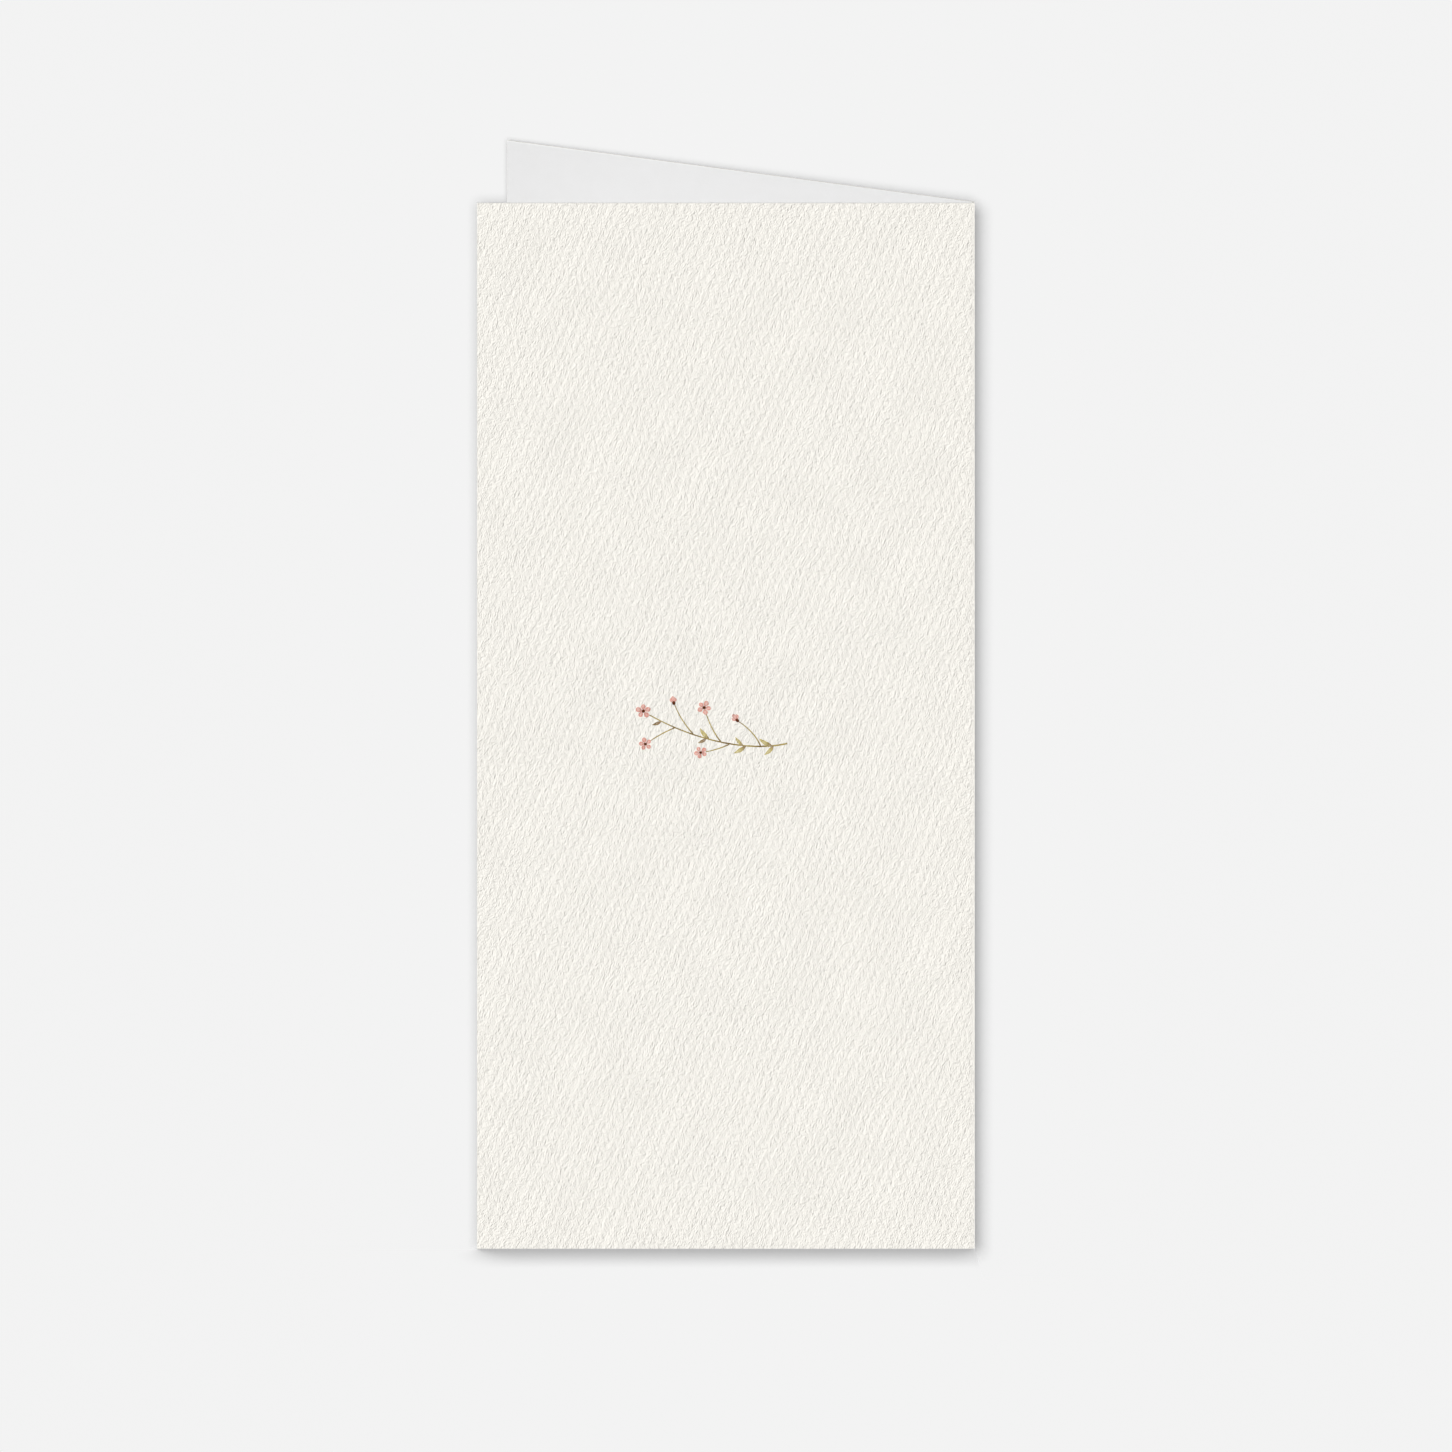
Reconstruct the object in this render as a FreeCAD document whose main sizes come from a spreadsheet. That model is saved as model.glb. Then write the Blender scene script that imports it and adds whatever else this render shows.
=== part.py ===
import FreeCAD, Part
import math
import os

import Sketcher

# Menu card: one sheet of heavy felt-marked card, scored down the middle and folded once.
#
# The sheet stands open like a book on its two bottom edges. +Z runs up along the fold. The back
# leaf faces -Y with the fold on its +X side, and the front leaf swings away behind it, towards +Y.
# The origin is on the floor, at the centre of the floor area that the open card covers.
#
# The card is an extrusion: one closed section, drawn in the XY plane, carried up the fold.
# Its two leaves are flat. The fold between them is a scored one: the outside turns on one clean
# arc, and on the inside the score's pressed-up bead lies in the crotch of the fold.

# name, size (mm, or degrees for the angle), what it is
SIZES = [
    ("panel_width", 100.0, "one leaf, from the outermost line of the fold to its free edge"),
    ("panel_height", 210.0, "the card along its fold"),
    ("stock_thickness", 0.4, "caliper of the 300 g/m2 felt-marked card"),
    ("opening_angle", 25.0, "angle between the two leaves"),
    ("fold_inner_radius", 0.3, "inside of the fold, from which the card wraps round"),
    ("bead_radius", 0.15, "rounded crest of the score's bead"),
    ("bead_height", 0.22, "crest of the bead above the inside of the fold"),
    ("bead_fillet", 0.04, "hollow on each side where the bead runs out into the fold"),
]

# The places of a line's or an arc's points in a constraint.
START, END, CENTRE = 1, 2, 3
# The sketch's own origin and its horizontal axis.
ROOT, X_AXIS = (-1, START), -1


def size_sheet(doc):
    """The spreadsheet that drives the model: one row for each size, with its name as the alias."""
    sheet = doc.addObject("Spreadsheet::Sheet", "Sizes")
    for row, (name, value, meaning) in enumerate(SIZES, 1):
        sheet.set(f"A{row}", name)
        sheet.set(f"B{row}", str(value))
        sheet.set(f"C{row}", meaning)
        sheet.setAlias(f"B{row}", name)
    doc.recompute()
    return sheet


def origin_plane(body, role):
    """A body's own origin plane, such as XY_Plane."""
    return next(f for f in body.Origin.OriginFeatures if f.Role == role)


def around(centre, radius, angle):
    """The point at an angle, in radians, on a circle in the sketch."""
    x = centre.x + radius * math.cos(angle)
    y = centre.y + radius * math.sin(angle)
    return FreeCAD.Vector(x, y, 0)


def heading(start, end):
    """The direction from one point to another, as an angle in radians."""
    return math.atan2(end.y - start.y, end.x - start.x)


def line(start, end):
    return Part.LineSegment(start, end)


def arc(centre, radius, start_angle, end_angle):
    """An arc that runs anticlockwise from its start to its end, with angles in radians."""
    circle = Part.Circle(centre, FreeCAD.Vector(0, 0, 1), radius)
    return Part.ArcOfCircle(circle, start_angle, end_angle)


def section_curves(sheet):
    """The section's curves by name, in order round the sheet, drawn where the sizes put them.

    The fold's inside and outside arcs share one centre. The bead's centre lies between that
    centre and the fold, on the line that halves the opening. Each hollow touches the fold's
    inside arc and the bead, which gives the triangle of centres that fold_to_hollow solves.
    """
    opening = math.radians(sheet.opening_angle)
    inner = sheet.fold_inner_radius
    outer = inner + sheet.stock_thickness
    leaf = sheet.panel_width - outer

    back_side = -math.pi / 2
    front_side = math.pi / 2 - opening
    halfway = -opening / 2
    fold = FreeCAD.Vector(sheet.panel_width / 2 - outer, outer, 0)

    # The leaves run from the fold to their free edges.
    to_back = FreeCAD.Vector(-leaf, 0, 0)
    to_front = FreeCAD.Vector(-leaf * math.cos(opening), leaf * math.sin(opening), 0)
    back_outer, back_inner = around(fold, outer, back_side), around(fold, inner, back_side)
    front_outer, front_inner = around(fold, outer, front_side), around(fold, inner, front_side)

    bead, hollow = sheet.bead_radius, sheet.bead_fillet
    fold_to_bead = inner - sheet.bead_height + bead
    fold_to_hollow = inner - hollow
    bead_to_hollow = bead + hollow
    crest = around(fold, fold_to_bead, halfway)
    spread = math.acos(
        (fold_to_hollow**2 + fold_to_bead**2 - bead_to_hollow**2) / (2 * fold_to_hollow * fold_to_bead)
    )
    front_hollow = around(fold, fold_to_hollow, halfway + spread)
    back_hollow = around(fold, fold_to_hollow, halfway - spread)
    full_turn = 2 * math.pi

    return {
        "back_outside": line(back_outer + to_back, back_outer),
        "fold_outside": arc(fold, outer, back_side, front_side),
        "front_outside": line(front_outer, front_outer + to_front),
        "front_cut": line(front_outer + to_front, front_inner + to_front),
        "front_inside": line(front_inner + to_front, front_inner),
        "front_crotch": arc(fold, inner, halfway + spread, front_side),
        "front_hollow": arc(front_hollow, hollow, heading(front_hollow, crest), halfway + spread),
        "bead": arc(crest, bead, heading(crest, front_hollow), heading(crest, back_hollow) + full_turn),
        "back_hollow": arc(back_hollow, hollow, halfway - spread, heading(back_hollow, crest)),
        "back_crotch": arc(fold, inner, back_side, halfway - spread),
        "back_inside": line(back_inner, back_inner + to_back),
        "back_cut": line(back_inner + to_back, back_outer + to_back),
        "half_line": line(fold, crest),
    }


def card_section(body, sheet):
    """The card's section: two leaves of one thickness, joined by the scored fold."""
    sketch = body.newObject("Sketcher::SketchObject", "CardSection")
    sketch.AttachmentSupport = [(origin_plane(body, "XY_Plane"), "")]
    sketch.MapMode = "FlatFace"
    curves = section_curves(sheet)
    at = {name: sketch.addGeometry(curve, name == "half_line") for name, curve in curves.items()}

    def join(kind, first, first_point, second, second_point):
        sketch.addConstraint(Sketcher.Constraint(kind, at[first], first_point, at[second], second_point))

    # Round the outside of the sheet, from the back leaf to the front leaf's cut edge.
    join("Tangent", "back_outside", END, "fold_outside", START)
    join("Tangent", "fold_outside", END, "front_outside", START)
    join("Perpendicular", "front_outside", END, "front_cut", START)
    join("Perpendicular", "front_cut", END, "front_inside", START)
    # Back along the inside, over the bead in the crotch of the fold.
    join("Tangent", "front_inside", END, "front_crotch", END)
    join("Tangent", "front_crotch", START, "front_hollow", END)
    join("Tangent", "front_hollow", START, "bead", START)
    join("Tangent", "bead", END, "back_hollow", END)
    join("Tangent", "back_hollow", START, "back_crotch", END)
    join("Tangent", "back_crotch", START, "back_inside", START)
    join("Perpendicular", "back_inside", END, "back_cut", START)
    join("Perpendicular", "back_cut", END, "back_outside", START)
    # One centre for the fold's arcs, and the half line from it to the centre of the bead.
    join("Coincident", "fold_outside", CENTRE, "front_crotch", CENTRE)
    join("Coincident", "fold_outside", CENTRE, "back_crotch", CENTRE)
    join("Coincident", "fold_outside", CENTRE, "half_line", START)
    join("Coincident", "bead", CENTRE, "half_line", END)

    # The back leaf lies along the X axis, and the front leaf is as long.
    sketch.addConstraint(Sketcher.Constraint("Horizontal", at["back_outside"]))
    sketch.addConstraint(Sketcher.Constraint("PointOnObject", at["back_outside"], START, X_AXIS))
    sketch.addConstraint(Sketcher.Constraint("Equal", at["back_outside"], at["front_outside"]))
    sketch.addConstraint(Sketcher.Constraint("Equal", at["front_crotch"], at["back_crotch"]))
    sketch.addConstraint(Sketcher.Constraint("Equal", at["front_hollow"], at["back_hollow"]))

    # The sizes. Each is named, and follows the sheet.
    def size(name, expression, kind, *where):
        value = curve_size(kind, where)
        index = sketch.addConstraint(Sketcher.Constraint(kind, *where, value))
        sketch.renameConstraint(index, name)
        sketch.setExpression("Constraints." + name, expression)

    def curve_size(kind, where):
        """What a size measures on the curves as drawn, so that nothing jumps when it is added."""
        if kind == "Radius":
            return sketch.Geometry[where[0]].Radius
        if kind == "DistanceX":
            (_, _), (index, point) = where[:2], where[2:]
            return sketch.getPoint(index, point).x
        curve = sketch.Geometry[where[0]]
        if kind == "Angle":
            return heading(curve.StartPoint, curve.EndPoint)
        return curve.length()

    free_edge = (at["back_outside"], START)
    size("free_edge", "-Sizes.panel_width / 2", "DistanceX", *ROOT, *free_edge)
    size(
        "leaf_length",
        "Sizes.panel_width - Sizes.fold_inner_radius - Sizes.stock_thickness",
        "Distance",
        at["back_outside"],
    )
    size("thickness", "Sizes.stock_thickness", "Distance", at["back_cut"])
    size("opening", "180 deg - Sizes.opening_angle * 1 deg", "Angle", at["front_outside"])
    size("fold_inner", "Sizes.fold_inner_radius", "Radius", at["back_crotch"])
    size("bead_crest", "Sizes.bead_radius", "Radius", at["bead"])
    size("bead_hollow", "Sizes.bead_fillet", "Radius", at["back_hollow"])
    size("half_opening", "-Sizes.opening_angle / 2 * 1 deg", "Angle", at["half_line"])
    size(
        "bead_depth",
        "Sizes.fold_inner_radius - Sizes.bead_height + Sizes.bead_radius",
        "Distance",
        at["half_line"],
    )
    return sketch


def menu_card(doc, sheet):
    """The whole sheet: its section carried up the fold, and stood with its floor area centred."""
    body = doc.addObject("PartDesign::Body", "menu_card")
    body.Label = "menu_card"
    sheet_up_the_fold = body.newObject("PartDesign::Pad", "Leaves")
    sheet_up_the_fold.Profile = card_section(body, sheet)
    sheet_up_the_fold.setExpression("Length", "Sizes.panel_height")
    body.Tip = sheet_up_the_fold

    # From the back leaf's outside to the front leaf's far corner, across the floor.
    fold_radius = "(Sizes.fold_inner_radius + Sizes.stock_thickness)"
    swing = "Sizes.opening_angle * 1 deg"
    depth = (
        f"{fold_radius} * (1 + cos({swing})) + (Sizes.panel_width - {fold_radius}) * sin({swing})"
    )
    body.setExpression("Placement.Base.y", f"-({depth}) / 2")
    return body


def check(doc, parts):
    """Stop if any object of the document failed, or a part has no sound solid."""
    for item in doc.Objects:
        faults = {"Invalid", "Error"} & set(item.State)
        if faults:
            raise RuntimeError(f"{item.Label} is {', '.join(sorted(faults))}")
    for part in parts:
        shape = part.Shape
        if shape.isNull() or not shape.isValid() or len(shape.Solids) != 1:
            raise RuntimeError(f"{part.Label} is not one valid solid")


def main():
    doc = FreeCAD.newDocument("MenuCard")
    sheet = size_sheet(doc)
    parts = [menu_card(doc, sheet)]
    doc.recompute()
    check(doc, parts)
    os.makedirs("parts", exist_ok=True)
    for part in parts:
        part.Shape.exportStep(os.path.join("parts", part.Label + ".step"))
        box = part.Shape.BoundBox
        print(
            f"{part.Label}: {box.XLength:.3f} x {box.YLength:.3f} x {box.ZLength:.3f} mm,"
            f" {part.Shape.Volume:.1f} mm3, {len(part.Shape.Faces)} faces"
        )


main()
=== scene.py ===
# %% [markdown]
# # A menu card of felt-marked stock
# The real object is one sheet of heavy cream card, 20 by 21 cm, scored down the middle and folded once, so
# that it stands up like a slightly open book. Its outside carries the marks of the felt it was pressed on,
# its inside is smooth, and a small sprig is printed on the back leaf. The CAD model holds the sheet's shape
# and size, and this script gives it its surface. It loads the CAD model first, because every size below is
# taken from it.

# %% Load the card and keep its box
import math

import bpy
import numpy as np
from mathutils import Matrix, Vector


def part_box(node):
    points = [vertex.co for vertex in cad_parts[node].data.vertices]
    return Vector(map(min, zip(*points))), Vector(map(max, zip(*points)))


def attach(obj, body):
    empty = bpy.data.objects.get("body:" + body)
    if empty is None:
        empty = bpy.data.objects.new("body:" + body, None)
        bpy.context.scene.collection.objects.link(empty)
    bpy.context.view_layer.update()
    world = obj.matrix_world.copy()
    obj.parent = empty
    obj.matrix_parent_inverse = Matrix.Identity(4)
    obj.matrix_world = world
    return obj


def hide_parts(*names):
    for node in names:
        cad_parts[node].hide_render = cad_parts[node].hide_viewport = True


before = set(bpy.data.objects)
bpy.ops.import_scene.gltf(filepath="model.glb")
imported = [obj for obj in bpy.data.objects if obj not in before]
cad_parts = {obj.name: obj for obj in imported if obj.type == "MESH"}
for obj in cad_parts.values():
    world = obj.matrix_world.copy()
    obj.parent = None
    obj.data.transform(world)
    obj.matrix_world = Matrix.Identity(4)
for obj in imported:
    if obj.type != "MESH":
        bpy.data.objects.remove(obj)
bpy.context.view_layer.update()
low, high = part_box("menu_card")
print("card in mm:", [round(1000 * side, 2) for side in high - low])

# %% [markdown]
# ## The folded sheet as a map
# A folded card could be modelled leaf by leaf, but then the pattern breaks at the fold. Here the flat sheet
# is described first, with s along it and u down through it, and one function folds it: straight for one
# leaf, round an arc at the score, straight again for the other leaf. Any shape drawn on the flat sheet
# folds with it.

# %% Sizes of the sheet, in metres
MM = 0.001
STOCK = 0.4 * MM
FOLD_INSIDE = 0.3 * MM
FOLD_OUTSIDE = FOLD_INSIDE + STOCK
OPENING = math.radians(25)
TURN = math.pi - OPENING
LEAF = (high.x - low.x) - FOLD_OUTSIDE
ARC = FOLD_OUTSIDE * TURN
SHEET = 2 * LEAF + ARC
HEIGHT = high.z - low.z
FOLD_CENTRE = np.array([high.x - FOLD_OUTSIDE, low.y + FOLD_OUTSIDE])
print("sheet across in mm:", round(SHEET / MM, 2), "of which the arc of the fold:", round(ARC / MM, 2))


# %% Fold a point of the flat sheet
def folded(s, u):
    """x and y of the point s metres along the sheet's outside and u metres down into it. The sheet runs
    straight along +X, turns about the fold's centre by s over the outer radius, then runs straight on. u is
    measured against the outward normal, which starts at -Y and turns with the sheet."""
    turned = np.clip((s - LEAF) / FOLD_OUTSIDE, 0, TURN)
    outward = np.stack([np.sin(turned), -np.cos(turned)], -1)
    ahead = np.stack([np.cos(turned), np.sin(turned)], -1)
    straight = np.where(s < LEAF, s - LEAF, np.maximum(s - LEAF - ARC, 0))
    return FOLD_CENTRE + (FOLD_OUTSIDE - u)[..., None] * outward + straight[..., None] * ahead


free_corners = folded(np.array([0, SHEET]), np.zeros(2))
print("free corners of the two leaves in mm:", np.round(free_corners / MM, 2).tolist())

# %% [markdown]
# ## The felt marks
# On the paper machine a woven felt presses into the wet web and leaves rows of small slanted hollows. A
# noise texture alone looks like plaster, because it has no rows. The relief here is a slanted wave for the
# rows, whose phase wanders a little, and a seeded sum of longer waves for the unevenness. What is shorter
# than a few mesh cells is left to the material's bump.

# %% Waves that leave out no direction and repeat on every run
ROWS = (0.480, -0.233)  # waves per mm along and up the sheet: rows 1.9 mm apart that lean to the right
ROW_HEIGHT, STRAY_HEIGHT = 0.023, 0.0015  # mm, of the rows and of the uneven waves between them
UNEVEN = 0.25  # how much the rows' height varies
COMBED = 0.35  # how far a row's crest leans over, in radians of its own wave
WANDER = 0.22  # mm that the weave strays from a straight one
# how many waves, and the fewest and the most per mm
SLOW, VARYING, STRAYING = (24, 0.02, 0.09), (24, 0.05, 0.25), (48, 0.15, 0.45)


def wandering(s, z, seed, count, fewest, most):
    """A smooth random height of unit spread at s, z in mm: the sum of count sine waves in all directions,
    with fewest to most waves per mm and random phases."""
    rng = np.random.default_rng(seed)
    waves = rng.uniform(fewest, most, count)
    angle, phase = rng.uniform(0, 2 * math.pi, (2, count))
    along, up = 2 * math.pi * waves * np.cos(angle), 2 * math.pi * waves * np.sin(angle)
    return np.sin(s[..., None] * along + z[..., None] * up + phase).sum(-1) / math.sqrt(count / 2)


def woven_place(s, z):
    """Where s, z in mm falls on the felt, whose weave is never quite straight: a slow wave moves each."""
    return s + WANDER * wandering(s, z, 11, *SLOW), z + WANDER * wandering(s, z, 12, *SLOW)


def felt_relief(s, z):
    """Height of the felt marks in mm at s, z in mm on the felt: a slanted sine wave for the rows, whose
    depth varies, plus longer waves in all directions."""
    depth = 1 + UNEVEN * wandering(s, z, 13, *VARYING)
    angle = 2 * math.pi * (s * ROWS[0] + z * ROWS[1])
    rows = np.sin(angle + COMBED * np.sin(angle))
    return ROW_HEIGHT * depth * rows + STRAY_HEIGHT * wandering(s, z, 14, *STRAYING)


some_places = np.arange(0, 40, 0.5)
trial = felt_relief(*np.meshgrid(some_places, some_places))
print("felt relief in mm, lowest and highest:", trial.min().round(3), trial.max().round(3))

# %% [markdown]
# ## The outline of the cut sheet
# Seen from above, the flat sheet is a long thin bar: the outside, a guillotined edge, the inside and the
# other edge. The blade leaves corners that are slightly rounded, and the score raises a bead inside the
# fold. The outline is a closed list of points with a normal each, so that the ends of the sheet can be
# rounded by moving it inwards.

# %% Outline of the sheet in s and u
CORNER = 0.05 * MM  # rounding left by the guillotine
BEAD = 0.22 * MM  # height of the score's bead inside the fold
BEAD_TURN = math.radians(48)
BORDER = 0.06 * MM  # narrow band next to each rounded edge, which keeps the leaf's shading flat
LEAF_CELLS, FOLD_CELLS = 190, 12  # outside, where the felt marks are
PLAIN_CELLS, CROTCH_CELLS = 7, 18  # inside, where only the bead needs many
EDGE_BAND, FOLD_BAND = 0.4 * MM, 0.3 * MM  # inside: narrow cells next to the cut edges and the fold
OUTSIDE_PART, INSIDE_PART, EDGE_PART = 0, 1, 2  # numbers of the sheet's materials


def bead(s):
    """How far the inside is raised at s: a squared cosine about the middle of the fold, zero past its
    ends."""
    turned = (s - SHEET / 2) / FOLD_OUTSIDE
    return BEAD * np.cos(np.clip(turned / BEAD_TURN, -1, 1) * math.pi / 2) ** 2


outer_s = np.concatenate([
    [CORNER], np.linspace(CORNER + BORDER, LEAF, LEAF_CELLS + 1),
    np.linspace(LEAF, LEAF + ARC, FOLD_CELLS + 1)[1:-1],
    np.linspace(LEAF + ARC, SHEET - CORNER - BORDER, LEAF_CELLS + 1), [SHEET - CORNER]])
inner_s = np.concatenate([
    [CORNER, CORNER + BORDER, EDGE_BAND], np.linspace(0, LEAF, PLAIN_CELLS + 1)[1:-1],
    [LEAF - FOLD_BAND], np.linspace(LEAF, LEAF + ARC, CROTCH_CELLS + 1), [LEAF + ARC + FOLD_BAND],
    np.linspace(LEAF + ARC, SHEET, PLAIN_CELLS + 1)[1:-1],
    [SHEET - EDGE_BAND, SHEET - CORNER - BORDER, SHEET - CORNER]])[::-1]
quarter = np.linspace(0, math.pi / 2, 4)


def cut_edge(centre_s, side):
    """A guillotined edge from the outside to the inside: a quarter circle, a flat and a quarter circle.
    side is 1 at the sheet's far end and -1 at its start, where the points run the other way."""
    down = np.concatenate([quarter, [math.pi / 2], quarter + math.pi / 2])
    middle = np.where(down <= math.pi / 2, CORNER, STOCK - CORNER)
    middle[len(quarter)] = STOCK / 2
    normal = np.stack([side * np.sin(down), -np.cos(down)], -1)
    points = np.stack([centre_s + CORNER * normal[:, 0], middle + CORNER * normal[:, 1]], -1)
    return (points[1:-1], normal[1:-1]) if side > 0 else (points[-2:0:-1], normal[-2:0:-1])


far_points, far_normals = cut_edge(SHEET - CORNER, 1)
near_points, near_normals = cut_edge(CORNER, -1)
outline = np.concatenate([
    np.stack([outer_s, 0 * outer_s], -1), far_points,
    np.stack([inner_s, STOCK + bead(inner_s)], -1), near_points])
outline_normal = np.concatenate([
    np.tile([0.0, -1.0], (len(outer_s), 1)), far_normals,
    np.tile([0.0, 1.0], (len(inner_s), 1)), near_normals])
outline_part = np.concatenate([
    np.full(len(outer_s) - 1, OUTSIDE_PART), np.full(len(far_points) + 1, EDGE_PART),
    np.full(len(inner_s) - 1, INSIDE_PART), np.full(len(near_points) + 1, EDGE_PART)])
print("points round the outline:", len(outline), "of which outside:", len(outer_s), "inside:", len(inner_s))

# %% [markdown]
# ## The sheet as one closed surface
# The outline is carried up the height of the card in rows. At the foot and the head it moves inwards along
# a quarter circle, which rounds those edges too. The felt marks push the outside out and in, less so at the
# score, where the creasing rule has pressed the card flat. Caps close the two ends.

# %% Rows up the card, and how far each is moved inwards
END = 0.04 * MM  # rounding of the head and foot
FIRST_ROW = 0.3 * MM  # where the even rows begin
ROW_STEPS = 208
foot_rows, foot_inset = END * (1 - np.cos(quarter)), END * (1 - np.sin(quarter))
row_z = np.concatenate([
    foot_rows, [END + BORDER], np.linspace(FIRST_ROW, HEIGHT - FIRST_ROW, ROW_STEPS),
    [HEIGHT - END - BORDER], HEIGHT - foot_rows[::-1]])
inset = np.concatenate([foot_inset, np.zeros(ROW_STEPS + 2), foot_inset[::-1]])
print("rows:", len(row_z))


# %% Raise the felt marks on the outside
CREASED, CREASE_REACH = 0.4, 1.2 * MM


def pressed(s):
    """How much of the felt relief is left at s: all of it on the leaves, and CREASED on the fold, with a
    straight rise between over CREASE_REACH."""
    away = np.abs(s - SHEET / 2) - ARC / 2
    return CREASED + (1 - CREASED) * np.clip(away / CREASE_REACH, 0, 1)


felt_s, felt_z = woven_place(*np.meshgrid(outline[:, 0] / MM, row_z / MM))
relief = (felt_relief(felt_s, felt_z) * MM)[:, :len(outer_s)] * pressed(outer_s)
raised = np.zeros((len(row_z), len(outline)))
raised[:, :len(outer_s)] = relief
s = outline[:, 0] - inset[:, None] * outline_normal[:, 0]
u = outline[:, 1] - inset[:, None] * outline_normal[:, 1] - raised
sheet_xy = folded(s, u)
sheet_points = np.concatenate([sheet_xy, np.broadcast_to(row_z[:, None, None], s.shape + (1,))], -1)
sheet_place = np.stack([felt_s, felt_z, u / MM], -1)
print("relief on the mesh in mm, spread:", round(float(relief.std() / MM), 4))


# %% Faces between the rows, and the caps
def grid_faces(rows, around):
    """Corner numbers of the quads of a grid whose rows each close on themselves, wound so that they face
    outwards where the outline runs anticlockwise seen from above."""
    row, column = np.meshgrid(np.arange(rows - 1), np.arange(around), indexing="ij")
    here, ahead = row * around + column, row * around + (column + 1) % around
    return np.stack([here, ahead, ahead + around, here + around], -1).reshape(-1, 4)


def cap_faces(count_in, start_in, total):
    """Faces that close the outline of total points, whose inside is count_in points from start_in on: each
    cell of the inside is joined to the stretch of the outside that lies across from it, and the first and
    last also take in the cut edges."""
    across = [int(np.abs(outer_s - place).argmin()) for place in inner_s]
    faces = [list(range(across[0], start_in + 1))]
    for cell in range(count_in - 1):
        outside = list(range(across[cell + 1], across[cell] + 1))
        faces.append(outside + [start_in + cell, start_in + cell + 1])
    return faces + [list(range(start_in + count_in - 1, total)) + list(range(0, across[-1] + 1))]


around = len(outline)
sides = grid_faces(len(row_z), around)
cap = cap_faces(len(inner_s), len(outer_s) + len(far_points), around)
last_row = (len(row_z) - 1) * around
foot = [face[::-1] for face in cap]
head = [[last_row + corner for corner in face] for face in cap]
print("side faces:", len(sides), "cap faces:", len(foot) + len(head))


# %% Put the points and faces into a mesh
def new_piece(name, points, faces, smooth=True):
    """Makes a mesh object at the origin from points in metres and a list of faces."""
    mesh = bpy.data.meshes.new(name)
    mesh.from_pydata(points.reshape(-1, 3).tolist(), [], faces)
    mesh.update()
    mesh.polygons.foreach_set("use_smooth", [smooth] * len(mesh.polygons))
    piece = bpy.data.objects.new(name, mesh)
    bpy.context.scene.collection.objects.link(piece)
    return piece


def store(piece, name, values):
    """Keeps a vector for each vertex under that name, for a material to read."""
    kept = piece.data.attributes.new(name, "FLOAT_VECTOR", "POINT")
    kept.data.foreach_set("vector", values.astype(np.float32).ravel())


print("mesh helpers ready")

# %% The sheet, with a material for each of its parts
card_sheet = new_piece("card_sheet", sheet_points, sides.tolist() + foot + head)
store(card_sheet, "sheet", sheet_place)
row_part = np.tile(outline_part, (len(row_z) - 1, 1))
rounded_rows = len(quarter) - 1
row_part[:rounded_rows] = EDGE_PART
row_part[-rounded_rows:] = EDGE_PART
face_part = np.concatenate([row_part.ravel(), np.full(len(foot) + len(head), EDGE_PART)])
card_sheet.data.polygons.foreach_set("material_index", face_part.astype(np.int32))
smooth = np.ones(len(card_sheet.data.polygons), bool)
smooth[len(sides):] = False
card_sheet.data.polygons.foreach_set("use_smooth", smooth)
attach(card_sheet, "root")
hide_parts("menu_card")
card_sheet.data.calc_loop_triangles()
print("triangles in the sheet:", len(card_sheet.data.loop_triangles))

# %% [markdown]
# ## The sprig as brush strokes
# The back leaf carries a small watercolour sprig, printed with thin ink. A flat picture plane would stand
# off the paper and hide its relief. Here each stroke of the brush is a film of its own: a curve drawn on
# the flat sheet, a width that swells and shrinks along it, and a front that follows the felt marks 0.03 mm
# above them. The films are closed, with their backs inside the card, so they can't show a gap.

# %% Height of the sheet's own mesh under a stroke
SPRIG_PLACE = (46.4, 104.7)  # mm along and up the sheet, where the sprig's own centre lies
FILM, SUNK = 0.030, 0.050  # mm that a film stands above the sheet and reaches into it
LAYER = 0.003  # mm that each layer of strokes lies above the one below


def relief_at(s, z):
    """Height of the sheet's outside at s, z in metres: the mean of the four mesh points round it, weighted
    by nearness along and up."""
    column = np.clip(np.searchsorted(outer_s, s) - 1, 0, len(outer_s) - 2)
    row = np.clip(np.searchsorted(row_z, z) - 1, 0, len(row_z) - 2)
    along = (s - outer_s[column]) / (outer_s[column + 1] - outer_s[column])
    up = (z - row_z[row]) / (row_z[row + 1] - row_z[row])
    lower = relief[row, column] * (1 - along) + relief[row, column + 1] * along
    upper = relief[row + 1, column] * (1 - along) + relief[row + 1, column + 1] * along
    return lower * (1 - up) + upper * up


print("sheet's height at the sprig's centre in mm:", (relief_at(*np.array(SPRIG_PLACE) * MM) / MM).round(4))


# %% One stroke
STROKE_STEPS = 28
ACROSS = np.array([1.0, 0.95, 0.65, 0.3, -0.05, -0.4, -0.7, -0.95, -1.0, 0.0])  # round a cross-section
STANDS = np.array([0, 1, 1, 1, 1, 1, 1, 1, 0, 0], bool)  # which of those stand above the sheet
SHARP = math.radians(40)  # a film's edges are steeper than this, and its face isn't


def curve_at(controls, t):
    """Points of the Bezier curve of those control points, by halving the list of blends until one is left:
    each blend is a point plus t times the step to the next."""
    points = [np.array(point, float) for point in controls]
    while len(points) > 1:
        points = [start + (end - start) * t for start, end in zip(points[:-1], points[1:])]
    return points[0]


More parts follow.
